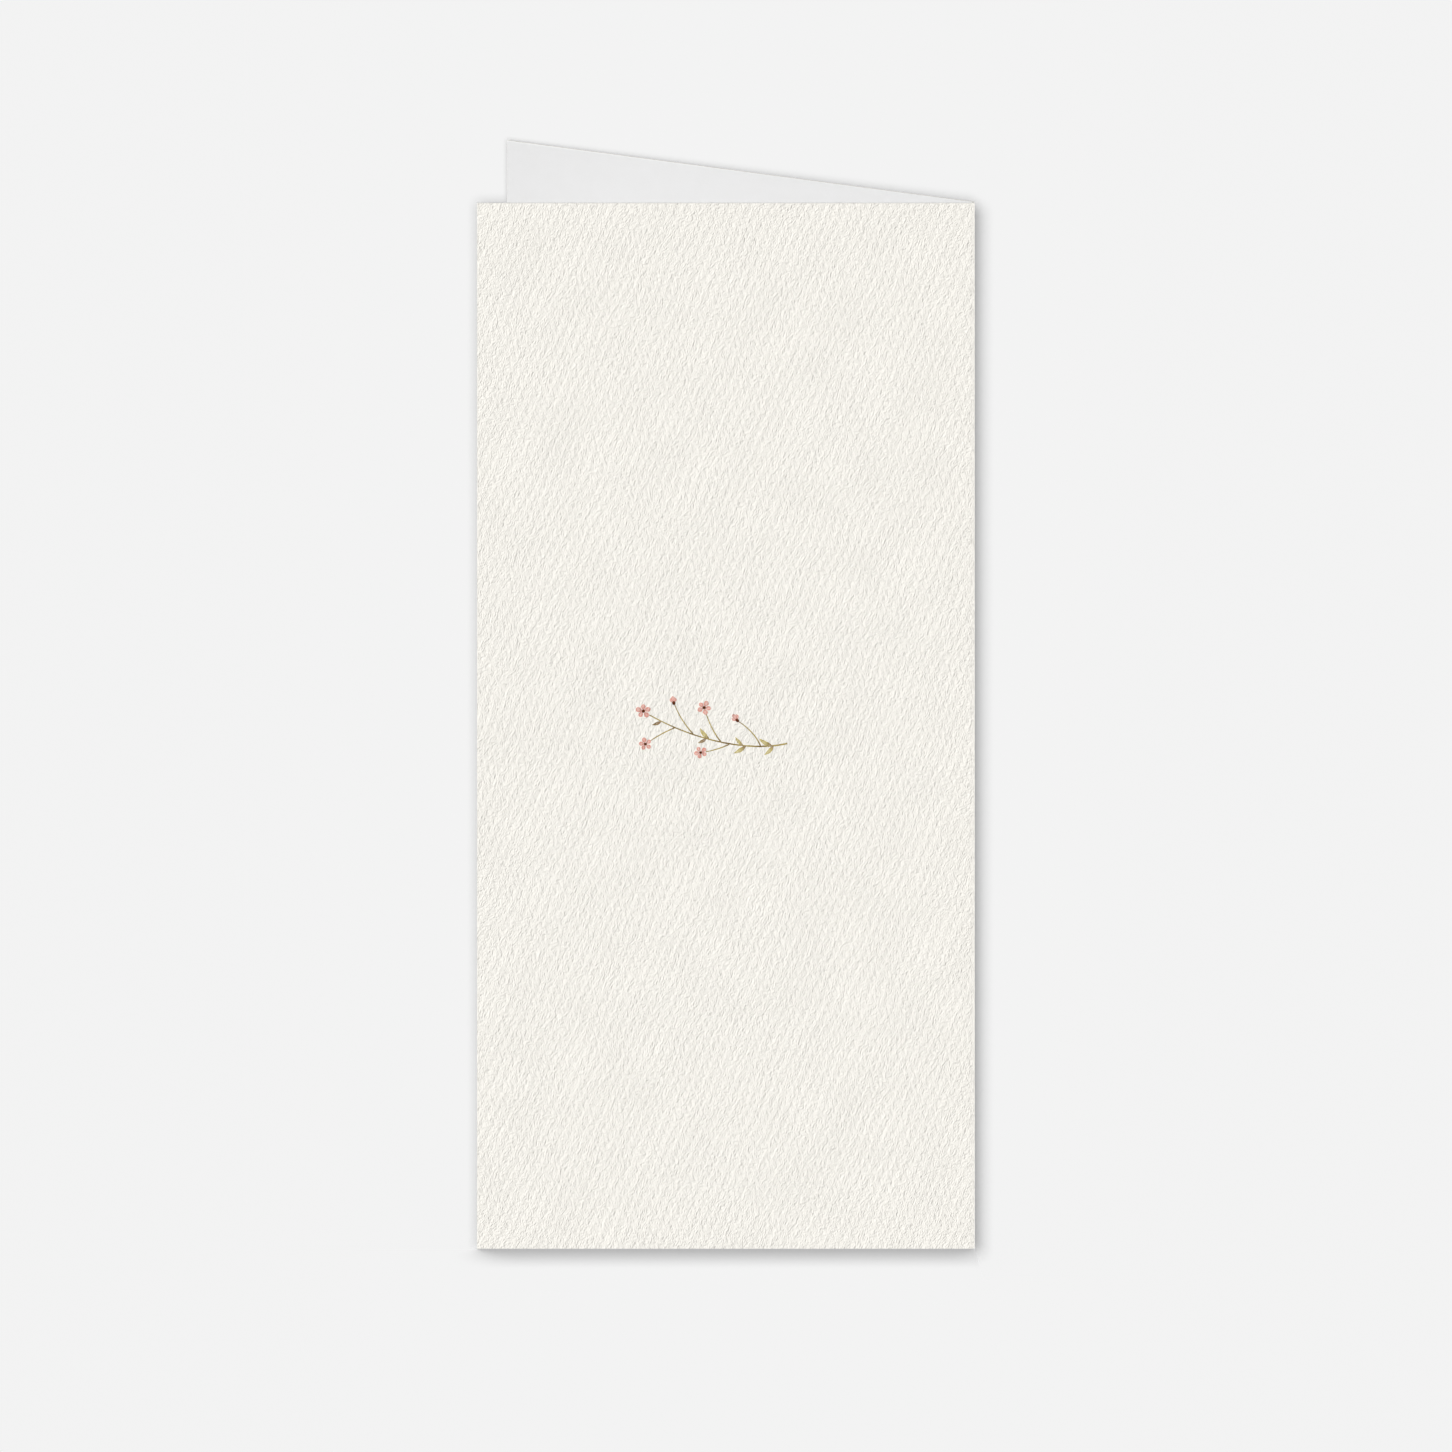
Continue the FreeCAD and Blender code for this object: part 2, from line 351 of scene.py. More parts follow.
def stroke(controls, half_width, tone, layer, drying=1.0):
    """Points, faces and brush values of one film. Its middle is the Bezier curve of the control points in
    mm about the sprig's centre, and each cross-section is a flat-topped loop of half_width(t) mm either
    side of it. tone(t) is kept with the place along and across the stroke, for the material. The wash fades
    out where the place along gets to 1, so a drying below 1 lets a stroke run on under the next one."""
    t = np.linspace(0, 1, STROKE_STEPS)
    middle = curve_at(controls, t[:, None])
    ahead = np.gradient(middle, axis=0)
    ahead /= np.linalg.norm(ahead, axis=1, keepdims=True)
    left = np.stack([-ahead[:, 1], ahead[:, 0]], -1)
    flat = middle[:, None] + (half_width(t)[:, None] * ACROSS)[..., None] * left[:, None] + SPRIG_PLACE
    s, z = flat[..., 0] * MM, flat[..., 1] * MM
    rise = relief_at(s, z) + np.where(STANDS, FILM + layer * LAYER, -SUNK) * MM
    points = np.concatenate([folded(s, -rise), z[..., None]], -1)
    felt_s, felt_z = woven_place(s / MM, z / MM)
    place = np.stack([felt_s, felt_z, -rise / MM], -1)
    brush = np.stack(np.broadcast_arrays(drying * t[:, None], ACROSS, tone(t)[:, None]), -1)
    ring, last = list(range(len(ACROSS))), (STROKE_STEPS - 1) * len(ACROSS)
    faces = grid_faces(STROKE_STEPS, len(ACROSS)).tolist() + [ring[::-1], [last + corner for corner in ring]]
    return points.reshape(-1, 3), faces, place.reshape(-1, 3), brush.reshape(-1, 3)


print("cross-sections in a stroke:", STROKE_STEPS, "of this many points:", len(ACROSS))


# %% One piece of many strokes
def film_piece(name, strokes):
    """One mesh of many strokes, each a closed film, riding on the card."""
    points, own_faces, places, brushes = zip(*strokes)
    starts = np.cumsum([0] + [len(own) for own in points[:-1]]).tolist()
    faces = [[start + corner for corner in face] for start, own in zip(starts, own_faces) for face in own]
    piece = new_piece(name, np.concatenate(points), faces)
    piece.data.set_sharp_from_angle(angle=SHARP)
    store(piece, "sheet", np.concatenate(places))
    store(piece, "brush", np.concatenate(brushes))
    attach(piece, "root")
    piece.data.calc_loop_triangles()
    print(name, "strokes:", len(strokes), "triangles:", len(piece.data.loop_triangles))
    return piece


# %% [markdown]
# ## The sprig's layout
# A generic spray: one stem that starts at the right and bows to the left, twigs that leave it on alternate
# sides, round five-petalled blossoms, two buds and small paired leaves. Everything is drawn in millimetres
# about the sprig's centre. Stems are thin at the tip and brown where they fork, as a loaded brush leaves
# them.

# %% Stems
STEM = [(15.9, -3.2), (8.6, -4.9), (-2.6, -2.9), (-12.8, 3.1)]
STEM_HALF, TWIG_HALF = 0.19, 0.15  # half widths in mm
TAPER = 0.35  # how much thinner they are at their ends
STEM_BROWN, TWIG_BROWN = 0.07, 0.3  # how far brown reaches from a fork or an end, as a share
DRYING = 0.75  # keeps a stem's end wet, so that it runs on under its blossom
TWIGS = [  # where each leaves the stem, then the bend and the end, in mm
    (0.22, (9.4, -0.9), (6.0, 1.3)), (0.44, (1.8, -4.6), (-1.4, -5.0)), (0.50, (0.6, -0.6), (-0.8, 4.0)),
    (0.68, (-5.4, 1.2), (-6.8, 4.8)), (0.80, (-9.2, -1.0), (-12.4, -3.2))]


def stem_width(thick):
    """Half the width of a stem in mm: thick at its foot, less a share that grows evenly to TAPER."""
    return lambda t: thick * (1 - TAPER * t)


def browned(places, reach):
    """Tone of a stroke: 1 at each of those places along it, falling to 0 at reach from them."""
    return lambda t: np.clip(1 - np.abs(t[:, None] - np.array(places)) / reach, 0, 1).max(-1)


forks = [twig[0] for twig in TWIGS]
foot_of = {fork: tuple(curve_at(STEM, np.array([[fork]]))[0]) for fork in forks}
twigs = [stroke([foot_of[fork], bend, end], stem_width(TWIG_HALF), browned([0.0, 1.0], TWIG_BROWN), 0,
                DRYING) for fork, bend, end in TWIGS]
main_stem = stroke(STEM, stem_width(STEM_HALF), browned(forks + [1.0], STEM_BROWN), 1, DRYING)
sprig_stems = film_piece("sprig_stems", twigs + [main_stem])
print("the stem forks at:", [np.round(fork_place, 1).tolist() for fork_place in foot_of.values()])

# %% Leaves
# place on the stem, turn from its direction in degrees, length and half width in mm, and the brown's reach
LEAVES = [
    (0.12, 40, 2.6, 0.42, 0.4), (0.13, -34, 3.0, 0.46, 0.5), (0.33, 36, 2.9, 0.44, 0.5),
    (0.35, -42, 2.3, 0.38, 0.4), (0.58, -36, 2.9, 0.45, 0.4), (0.60, 44, 1.9, 0.34, 2.5),
    (0.89, 48, 2.0, 0.34, 3.0)]
FINEST = 0.02  # half width in mm of a stroke's very tip
LEAF_BOW, PETAL_BOW = 0.25, 0.12  # how far their middles bow to one side, in radians
NEARBY = 0.01  # a step along the stem, to tell its direction
LEAF_LAYER = 2  # the lowest leaf's


def pointing(angle):
    """The step of 1 mm in the direction of that angle, counted from the right."""
    return np.array([math.cos(angle), math.sin(angle)])


def bowed(foot_at, angle, length, bow):
    """Control points in mm of a stroke from foot_at that runs for length in the direction of that angle, with
    its middle turned further by bow."""
    return [foot_at, foot_at + 0.5 * length * pointing(angle + bow), foot_at + length * pointing(angle)]


def along_stem(place):
    """Point of the stem at that place, and the stem's direction there as an angle."""
    here, ahead = curve_at(STEM, np.array([[place], [place + NEARBY]]))
    return here, math.atan2(*(ahead - here)[::-1])


def almond(half):
    """Half width in mm of an almond: the sine of half a turn, with t to the power 0.85, which puts the
    widest place a little before the middle, and the sine to the power 0.9, which fills it out."""
    return lambda t: half * np.sin(math.pi * t ** 0.85) ** 0.9 + FINEST


leaves = []
for number, (place, turn, length, half, brown) in enumerate(LEAVES):
    foot_at, heading = along_stem(place)
    curve = bowed(foot_at, heading + math.radians(turn), length, LEAF_BOW)
    leaves.append(stroke(curve, almond(half), browned([0.0], brown), LEAF_LAYER + number % 3))
sprig_leaves = film_piece("sprig_leaves", leaves)

# %% Blossoms and buds: place and size in mm, turn in degrees
BLOSSOMS = [(-13.0, 3.3, 1.45, 14), (-1.5, -5.0, 1.25, 40), (-0.8, 4.0, 1.4, 62), (-12.6, -3.3, 1.3, 28)]
BUDS = [(5.9, 1.4, 1.6, 128), (-6.9, 4.9, 1.45, 100)]
PETAL_WIDTH, BUD_WIDTH = 0.40, 0.30  # half a petal's width as a share of its length
CLAW = 0.10  # mm from a blossom's centre to where its petals begin
PETAL_DEEP, BUD_DEEP = 0.55, 0.5  # how far the deep colour reaches from a petal's foot
PETAL_LAYER = 6  # the lowest petal's, above every leaf
TURN_STRAY, REACH_STRAY = 7, (0.88, 1.06)  # degrees, and shares of the blossom's size
SPREADS, SIDE_PETAL = (-24, 26, 0), 0.82  # a bud's petals: turns in degrees, and the side ones' length


def petal(half):
    """Half width in mm of a petal: the sine of half a turn, with t to the power 1.5, which puts the widest
    place nearly two thirds out, and the sine to the power 0.75, which rounds the tip."""
    return lambda t: half * np.sin(math.pi * np.clip(t, 0, 1) ** 1.5) ** 0.75 + FINEST


rng = np.random.default_rng(21)
petals = []
for x, z, radius, turn in BLOSSOMS:
    for number in range(5):
        out = math.radians(turn + 360 / 5 * number + rng.uniform(-TURN_STRAY, TURN_STRAY))
        reach = radius * rng.uniform(*REACH_STRAY)
        curve = bowed((x, z) + CLAW * pointing(out), out, reach, PETAL_BOW)
        width, tone = petal(PETAL_WIDTH * reach), browned([0.0], PETAL_DEEP)
        petals.append(stroke(curve, width, tone, PETAL_LAYER + number))
for x, z, length, turn in BUDS:
    for number, spread in enumerate(SPREADS):
        reach = length * (SIDE_PETAL if spread else 1.0)
        curve = bowed(np.array([x, z]), math.radians(turn + spread), reach, 0)
        width, tone = petal(BUD_WIDTH * length), browned([0.0], BUD_DEEP)
        petals.append(stroke(curve, width, tone, PETAL_LAYER + number))
sprig_petals = film_piece("sprig_petals", petals)

# %% Hearts of the blossoms, cups of the buds
HEART = 0.24  # a heart's radius as a share of its blossom's
CUP_HALF = 0.34  # mm
CUP_BACK, CUP_AHEAD = 0.35, 0.45  # mm that a cup reaches either way from its bud's foot
MIDDLE, CUP_MIDDLE, HEART_DEEP = 0.5, 0.3, 0.9  # where they are deepest, and how far that reaches
TOP_LAYER = 14  # above every petal


def drop(half):
    """Half width in mm of a round drop: twice half, times the square root of t times what is left of t. The
    product is never quite nothing, so that the ends stay open enough to close with a face."""
    return lambda t: 2 * half * np.sqrt(np.clip(t * (1 - t), 0.0004, 1))


hearts = []
for x, z, radius, _ in BLOSSOMS:
    half = HEART * radius
    curve = bowed(np.array([x - half, z]), 0, 2 * half, 0)
    hearts.append(stroke(curve, drop(half), browned([MIDDLE], HEART_DEEP), TOP_LAYER))
for x, z, _, turn in BUDS:
    out = math.radians(turn)
    curve = bowed((x, z) - CUP_BACK * pointing(out), out, CUP_BACK + CUP_AHEAD, 0)
    hearts.append(stroke(curve, drop(CUP_HALF), browned([CUP_MIDDLE], HEART_DEEP), TOP_LAYER))
sprig_hearts = film_piece("sprig_hearts", hearts)

# %% [markdown]
# ## Helpers for shader nodes
# A node tree built by script is mostly the same three moves: add a node, set its inputs, link its outputs.
# One helper does all three, and short ones on top of it add the kinds that come up often. Another opens a
# node group with named inputs and outputs, so that the paper effects below are made once and used by every
# material that needs them.

# %% Add a node, and open a group
def node(tree, kind, inputs=(), **settings):
    """Adds a node. settings are its own properties. inputs maps an input's name or number to a value, or to
    another node's output, which is then linked."""
    made = tree.nodes.new(kind)
    for name, value in settings.items():
        setattr(made, name, value)
    for key, value in dict(inputs).items():
        if isinstance(value, bpy.types.NodeSocket):
            tree.links.new(value, made.inputs[key])
        else:
            made.inputs[key].default_value = value
    return made


def maths(tree, operation, *values):
    """A Math node on up to three numbers or outputs. Gives its output."""
    return node(tree, "ShaderNodeMath", enumerate(values), operation=operation).outputs[0]


def ramp(tree, value, start, end, first=0.0, last=1.0, **settings):
    """A Map Range node: first up to start, last from end on, and even between. Gives its output."""
    return node(tree, "ShaderNodeMapRange", {
        "Value": value, "From Min": start, "From Max": end, "To Min": first, "To Max": last},
        **settings).outputs[0]


def noise(tree, place, scale, detail=2.0, **settings):
    """A Noise Texture node with about scale features per mm. Gives its value."""
    return node(tree, "ShaderNodeTexNoise", {"Vector": place, "Scale": scale, "Detail": detail},
                **settings).outputs["Fac"]


def blend(tree, share, first, second):
    """A Mix node on two colours, with that share of the second. Gives its output."""
    return node(tree, "ShaderNodeMix", {"Factor": share, 6: first, 7: second}, data_type="RGBA").outputs[2]


def group(name, inputs, outputs):
    """Opens a node group. inputs and outputs are lists of name, kind, such as Float, and value."""
    tree = bpy.data.node_groups.new(name, "ShaderNodeTree")
    for direction, sockets in (("INPUT", inputs), ("OUTPUT", outputs)):
        for label, kind, value in sockets:
            made = tree.interface.new_socket(label, in_out=direction, socket_type="NodeSocket" + kind)
            if value is not None:
                made.default_value = value
    return tree, tree.nodes.new("NodeGroupInput").outputs, tree.nodes.new("NodeGroupOutput").inputs


def use(tree, name, **inputs):
    """Places a node group in a material, with its inputs by name. Gives its outputs."""
    return node(tree, "ShaderNodeGroup", inputs, node_tree=bpy.data.node_groups[name]).outputs


print("node helpers ready")

# %% [markdown]
# ## Group: felt marks
# The mesh holds the rows. This group sharpens them and adds what is too fine for it: a second set of
# slanted rows that makes the pattern a weave, and the short leaning hair marks between them. It reads the
# place on the flat sheet, which every piece stores, so the pattern runs on over the fold and through the
# print. It gives a height in millimetres for a Bump node.

# %% Build the felt marks group
CROSS_ROWS = (0.454, 0.441)
HALF_ROWS = (ROWS[0] + CROSS_ROWS[0], ROWS[1] + CROSS_ROWS[1])
ROWS_DEPTH, CROSS_DEPTH, HALF_DEPTH = 0.020, 0.019, 0.014  # mm
TUFTS, TUFT_DEPTH = 1.8, 0.172  # features per mm, and depth in mm from lowest to highest
HAIRS, HAIR_DEPTH = 4.2, 0.195
SLID = 0.32  # mm across the sheet that a noise of the tufts' size pushes the marks by
LEANING, LENGTHENED = (1.0, -0.30, 0.0), (0.0, 0.58, 0.0)  # how the marks are laid on the sheet

tree, given, result = group(
    "Felt marks",
    [("Sheet", "Vector", None), ("Weave", "Float", 1.0), ("Tooth", "Float", 1.0)],
    [("Height", "Float", None)])


def measured(direction):
    """The dot product of the place on the sheet with that vector."""
    return node(tree, "ShaderNodeVectorMath", {0: given["Sheet"], 1: direction},
                operation="DOT_PRODUCT").outputs["Value"]


def slanted_wave(waves, depth, phase=0.0):
    """A combed sine wave across the sheet: the sine of an angle plus COMBED times that angle's own sine. The
    angle is a full turn times the dot product of the place and the waves per mm, plus the phase."""
    angle = maths(tree, "MULTIPLY_ADD", measured((*waves, 0)), 2 * math.pi, phase)
    combed = maths(tree, "MULTIPLY_ADD", maths(tree, "SINE", angle), COMBED, angle)
    return maths(tree, "MULTIPLY", maths(tree, "SINE", combed), depth)


def felt_noise(place, scale, depth):
    """Noise with about that many features per mm, as a height about zero."""
    value = noise(tree, place, scale, 0.5, noise_dimensions="2D")
    return maths(tree, "MULTIPLY", maths(tree, "SUBTRACT", value, 0.5), depth)


across, upwards = measured(LEANING), measured(LENGTHENED)
leaning = node(tree, "ShaderNodeCombineXYZ", {"X": across, "Y": upwards}).outputs[0]
slid = maths(tree, "ADD", across, felt_noise(leaning, TUFTS, SLID))
combed = node(tree, "ShaderNodeCombineXYZ", {"X": slid, "Y": upwards}).outputs[0]
crossing = maths(tree, "ADD", slanted_wave(CROSS_ROWS, CROSS_DEPTH),
                 slanted_wave(HALF_ROWS, HALF_DEPTH, math.pi / 2))
weave = maths(tree, "ADD", slanted_wave(ROWS, ROWS_DEPTH), crossing)
tooth = maths(tree, "ADD", felt_noise(combed, TUFTS, TUFT_DEPTH), felt_noise(combed, HAIRS, HAIR_DEPTH))
height = maths(tree, "MULTIPLY_ADD", weave, given["Weave"], maths(tree, "MULTIPLY", tooth, given["Tooth"]))
tree.links.new(height, result["Height"])
print("felt marks group:", len(tree.nodes), "nodes")

# %% [markdown]
# ## Group: paper fibre
# Card is a mat of fibres a few millimetres long and hundredths of a millimetre thick. They show as a slight
# mottle in the colour and a fine grain under raking light, on the outside, the inside and the cut edges
# alike, so this is a group with its own size and stretch in each material.

# %% Build the paper fibre group
tree, given, result = group(
    "Paper fibre",
    [("Sheet", "Vector", None), ("Stretch", "Vector", (1.0, 1.0, 1.0)), ("Size", "Float", 1.0)],
    [("Height", "Float", None), ("Tone", "Float", None), ("Cloud", "Float", None)])
laid = node(tree, "ShaderNodeVectorMath", {0: given["Sheet"], 1: given["Stretch"]}, operation="MULTIPLY")
fine = node(tree, "ShaderNodeTexNoise", {
    "Vector": laid.outputs[0], "Scale": given["Size"], "Detail": 3.0, "Roughness": 0.6, "Distortion": 0.4})
grain = maths(tree, "SUBTRACT", fine.outputs["Fac"], 0.5)
tree.links.new(grain, result["Height"])
tree.links.new(fine.outputs["Fac"], result["Tone"])
tree.links.new(noise(tree, given["Sheet"], 0.22, 3.0), result["Cloud"])
print("paper fibre group:", len(tree.nodes), "nodes")

# %% [markdown]
# ## Group: watercolour wash
# A wash of watercolour is thinnest where the brush ran dry, gathers in a darker line just inside its edge,
# and settles as grains in the paper. The group reads the place along and across a stroke and the place on
# the sheet, and gives how dense the pigment lies. At the very edge the density is nothing, so the stroke
# ends softly in bare paper and the film that carries it can't be seen.

# %% Build the watercolour group
DRIES_LATE = 7.0  # the higher, the nearer to a stroke's end its wash begins to fade
RAGGED = 0.7  # how far the wash's edge strays
EDGE_END = 0.98  # where the wash has ended, just inside the film's own edge
POOLS_FROM = 2.2  # how many soft widths in from the edge the pigment begins to gather
PATCHY, GRAINED = 0.8, 0.5  # how much the fill and the grains vary
EDGE_BLOT, BLOT, GRAIN = 2.4, 1.1, 7.0  # features per mm of the edge, the fill and the grains
tree, given, result = group(
    "Watercolour wash",
    [("Brush", "Vector", None), ("Sheet", "Vector", None), ("Fill", "Float", 0.7), ("Pool", "Float", 0.3),
     ("Soft", "Float", 0.3)],
    [("Density", "Float", None), ("Tone", "Float", None)])
brush = node(tree, "ShaderNodeSeparateXYZ", {0: given["Brush"]}).outputs
ragged, run, grains = [noise(tree, given["Sheet"], scale) for scale in (EDGE_BLOT, BLOT, GRAIN)]
ended = maths(tree, "POWER", brush["X"], DRIES_LATE)
edge = maths(tree, "MAXIMUM", maths(tree, "ABSOLUTE", brush["Y"]), ended)
edge = maths(tree, "ADD", edge, maths(tree, "MULTIPLY", maths(tree, "SUBTRACT", ragged, 0.5), RAGGED))
start_fading = maths(tree, "SUBTRACT", 1.0, given["Soft"])
start_pooling = maths(tree, "MULTIPLY_ADD", given["Soft"], -POOLS_FROM, 1.0)
inside = ramp(tree, edge, start_fading, EDGE_END, 1.0, 0.0, interpolation_type="SMOOTHSTEP")
pooled = ramp(tree, edge, start_pooling, start_fading, 0.0, given["Pool"])
filled = maths(tree, "MULTIPLY", given["Fill"], maths(tree, "MULTIPLY_ADD", run, PATCHY, 1 - PATCHY / 2))
laid = maths(tree, "MULTIPLY", maths(tree, "ADD", filled, pooled), inside)
density = maths(tree, "MULTIPLY", laid, maths(tree, "MULTIPLY_ADD", grains, -GRAINED, 1 + GRAINED / 2))
tree.links.new(node(tree, "ShaderNodeClamp", {"Value": density}).outputs[0], result["Density"])
tree.links.new(brush["Z"], result["Tone"])
print("watercolour group:", len(tree.nodes), "nodes")

# %% [markdown]
# ## The paper materials
# All three faces of the sheet are one stock: a warm, matt white. The outside has the felt marks, and the
# inside was laid on the smooth side and is painted a darker, cooler grey as painted shade inside the fold.
# The cut edges show the fibres in layers and are darker, partly from the fibres and partly as painted shade.
# Paper has almost no gloss, so roughness stays high and the specular level low.

# %% Colours of the stock
OUTSIDE = (0.888, 0.863, 0.807)
# the inside is the same stock painted a darker, neutral grey: painted shade for the inside of the fold
INSIDE_IN_PAINTED_SHADE = (0.770, 0.770, 0.772)
# the cut edges are darker than the faces: partly the fibres' own tone, partly painted shade on the edges
CUT_WITH_PAINTED_SHADE = (0.76, 0.75, 0.72)
DARKEST = 0.12  # how much light the darkest mottle keeps back
WARMING = (0.9, 1.0, 1.15)  # how fast red, green and blue go as paper darkens
SPOTTED, CLOUDED = (0.35, 0.7), (0.3, 0.7)  # between which noise values the mottle grows
ROUGHNESS = (0.82, 0.96)  # from the fibres' lowest tone to their highest


def shaded(colour, share):
    """The colour with its light reduced by that share, warmer as it darkens, as paper in shade is."""
    return tuple(c * (1 - share * warm) for c, warm in zip(colour, WARMING)) + (1.0,)


def paper(name, colour, felt, fibre, stretch, size, mottle):
    """A matt paper material: the colour, mottled by the fibre group, with both groups' heights in one Bump
    node. felt is 1 for the full felt marks and 0 for none, fibre is the fibres' depth in mm, stretch and
    size shape them, and mottle is how far they and the clouds each take the colour to its darkest."""
    made = bpy.data.materials.new(name)
    made.use_nodes = True
    tree = made.node_tree
    shader = tree.nodes["Principled BSDF"]
    place = node(tree, "ShaderNodeAttribute", attribute_name="sheet").outputs["Vector"]
    marks = use(tree, "Felt marks", Sheet=place, Weave=felt, Tooth=felt)
    fibres = use(tree, "Paper fibre", Sheet=place, Stretch=stretch, Size=size)
    spots = ramp(tree, fibres["Tone"], *SPOTTED, 0.0, mottle)
    clouds = ramp(tree, fibres["Cloud"], *CLOUDED, 0.0, mottle)
    darker = maths(tree, "ADD", spots, clouds)
    tint = blend(tree, darker, shaded(colour, 0.0), shaded(colour, DARKEST))
    tree.links.new(tint, shader.inputs["Base Color"])
    rough = ramp(tree, fibres["Tone"], 0.0, 1.0, *ROUGHNESS)
    tree.links.new(rough, shader.inputs["Roughness"])
    shader.inputs["Specular IOR Level"].default_value = 0.25
    height = maths(tree, "MULTIPLY_ADD", fibres["Height"], fibre, marks["Height"])
    bump = node(tree, "ShaderNodeBump", {"Height": height, "Strength": 1.0, "Distance": MM})
    tree.links.new(bump.outputs[0], shader.inputs["Normal"])
    return made


print("the outside where it is darkest:", [round(level, 3) for level in shaded(OUTSIDE, DARKEST)[:3]])

# %% The sheet's three papers
FELT_SIDE = dict(colour=OUTSIDE, felt=1.0, fibre=0.008, stretch=(1.0, 0.7, 1.0), size=7.0, mottle=0.06)
SMOOTH_SIDE = dict(colour=INSIDE_IN_PAINTED_SHADE, felt=0.0, fibre=0.004, stretch=(1.0, 0.8, 1.0), size=5.0, mottle=0.12)
CUT_SIDE = dict(colour=CUT_WITH_PAINTED_SHADE, felt=0.0, fibre=0.020, stretch=(0.6, 0.6, 9.0), size=4.0, mottle=0.50)
for material in (  # in the order of OUTSIDE_PART, INSIDE_PART and EDGE_PART
        paper("felt_marked_side", **FELT_SIDE), paper("smooth_side", **SMOOTH_SIDE),
        paper("guillotined_edge", **CUT_SIDE)):
    card_sheet.data.materials.append(material)
print("paper materials:", [m.name for m in card_sheet.data.materials])

# %% [markdown]
# ## The printed colours
# The sprig is pigment on the same paper, so each of its materials is the felt-marked paper with one more
# step before the shader's colour: the bare paper blends into the pigment by the wash's density, and the
# pigment runs from a thin colour to a strong one by the stroke's tone.

# %% Colours of the sprig
THIN_STEM, STRONG_STEM = (0.400, 0.310, 0.085), (0.155, 0.088, 0.012)
THIN_LEAF, STRONG_LEAF = (0.500, 0.410, 0.130), (0.170, 0.078, 0.015)
THIN_PETAL, STRONG_PETAL = (0.690, 0.285, 0.225), (0.500, 0.110, 0.075)
THIN_HEART, STRONG_HEART = (0.150, 0.038, 0.010), (0.090, 0.022, 0.005)


def printed(name, thin, strong, fill, pool, soft):
    """The felt-marked paper with a wash over its colour. fill, pool and soft go to the watercolour
    group."""
    made = paper(name, **FELT_SIDE)
    tree = made.node_tree
    base = tree.nodes["Principled BSDF"].inputs["Base Color"]
    bare = base.links[0].from_socket
    place = node(tree, "ShaderNodeAttribute", attribute_name="sheet").outputs["Vector"]
    brush = node(tree, "ShaderNodeAttribute", attribute_name="brush").outputs["Vector"]
    wash = use(tree, "Watercolour wash", Brush=brush, Sheet=place, Fill=fill, Pool=pool, Soft=soft)
    pigment = blend(tree, wash["Tone"], thin + (1.0,), strong + (1.0,))
    tree.links.new(blend(tree, wash["Density"], bare, pigment), base)
    return made


for piece, material in (
        (sprig_stems, printed("olive_wash", THIN_STEM, STRONG_STEM, fill=1.10, pool=0.2, soft=0.30)),
        (sprig_leaves, printed("leaf_wash", THIN_LEAF, STRONG_LEAF, fill=0.85, pool=0.3, soft=0.30)),
        (sprig_petals, printed("coral_wash", THIN_PETAL, STRONG_PETAL, fill=0.72, pool=0.3, soft=0.35)),
        (sprig_hearts, printed("umber_wash", THIN_HEART, STRONG_HEART, fill=1.60, pool=0.1, soft=0.10))):
    piece.data.materials.append(material)
print("printed materials:", [m.name for m in bpy.data.materials if m.name.endswith("_wash")])

# %% [markdown]
# ## Slanted sight lines
# The card is drawn in cabinet fashion: the back leaf is square on and at its true size, and depth runs up
# and to the left. So the camera looks along slanted parallel lines. How far depth runs up and to the left
# is worked out from where the front leaf's free edge shows beside the back leaf's. The stage needs it too,
# because it has to know which part of the floor the card hides.

# %% How depth shows
LEAF_RISE = 12.71 * MM  # how far the front leaf's free corner shows above the back leaf
LEAF_SHOWN_IN = 6.02 * MM  # how far its free edge shows in from the back leaf's free edge
inner_corner = folded(np.array([SHEET]), np.array([STOCK]))[0]
outer_corner = free_corners[1]
rise = LEAF_RISE / (outer_corner[1] - low.y)
lean = (low.x + LEAF_SHOWN_IN - inner_corner[0]) / (inner_corner[1] - low.y)
ALONG_SIGHT = (round(lean, 4), -1.0, round(rise, 4))  # towards the camera
print("depth shows up by", round(rise, 4), "and to the left by", round(-lean, 4))

# %% [markdown]
# ## Floor, backdrop and world
# A pale floor and a pale sheet upright behind the card make the studio. Their brightness is for the camera
# only: to the camera each adds a glow to what the lamps give it, and to every other ray it is as plain as
# the sky or isn't there, so no light or shade of the set gets onto the card. A shadow beside the card that
# keeps its width down to the foot lies on the backdrop and not on a floor, so behind the card the floor is
# only as wide as the card hides, and beside that the backdrop goes on below it. It has one face, and a
# camera behind it looks through it.
#
# A camera in another place sees past the edges of those sheets. A skirt that hangs from the floor, a fin
# beside the part of the floor that the card hides, and a backdrop whose foot comes down in steps keep what
# it sees there as pale as the rest.

# %% Stage material
PALE = 0.894  # the grey that the camera sees
SKY = 0.35  # the light that reaches the card from every side
WALL_LIGHT = 32.5  # what the lamps give the backdrop, where 1 is plain light
REAR_LIGHT = 9.8  # what the same lamps give the floor behind the card
FLOOR_LIGHT = 22.0  # what the lamp above gives the floor in front
LAMPLIT = high.x + 20 * MM, high.x + 40 * MM  # where the matt part starts to fade out, and where it is gone
GREY, REAR_GREY = 0.02, 0.04  # what share of the lamps' light the stage gives back


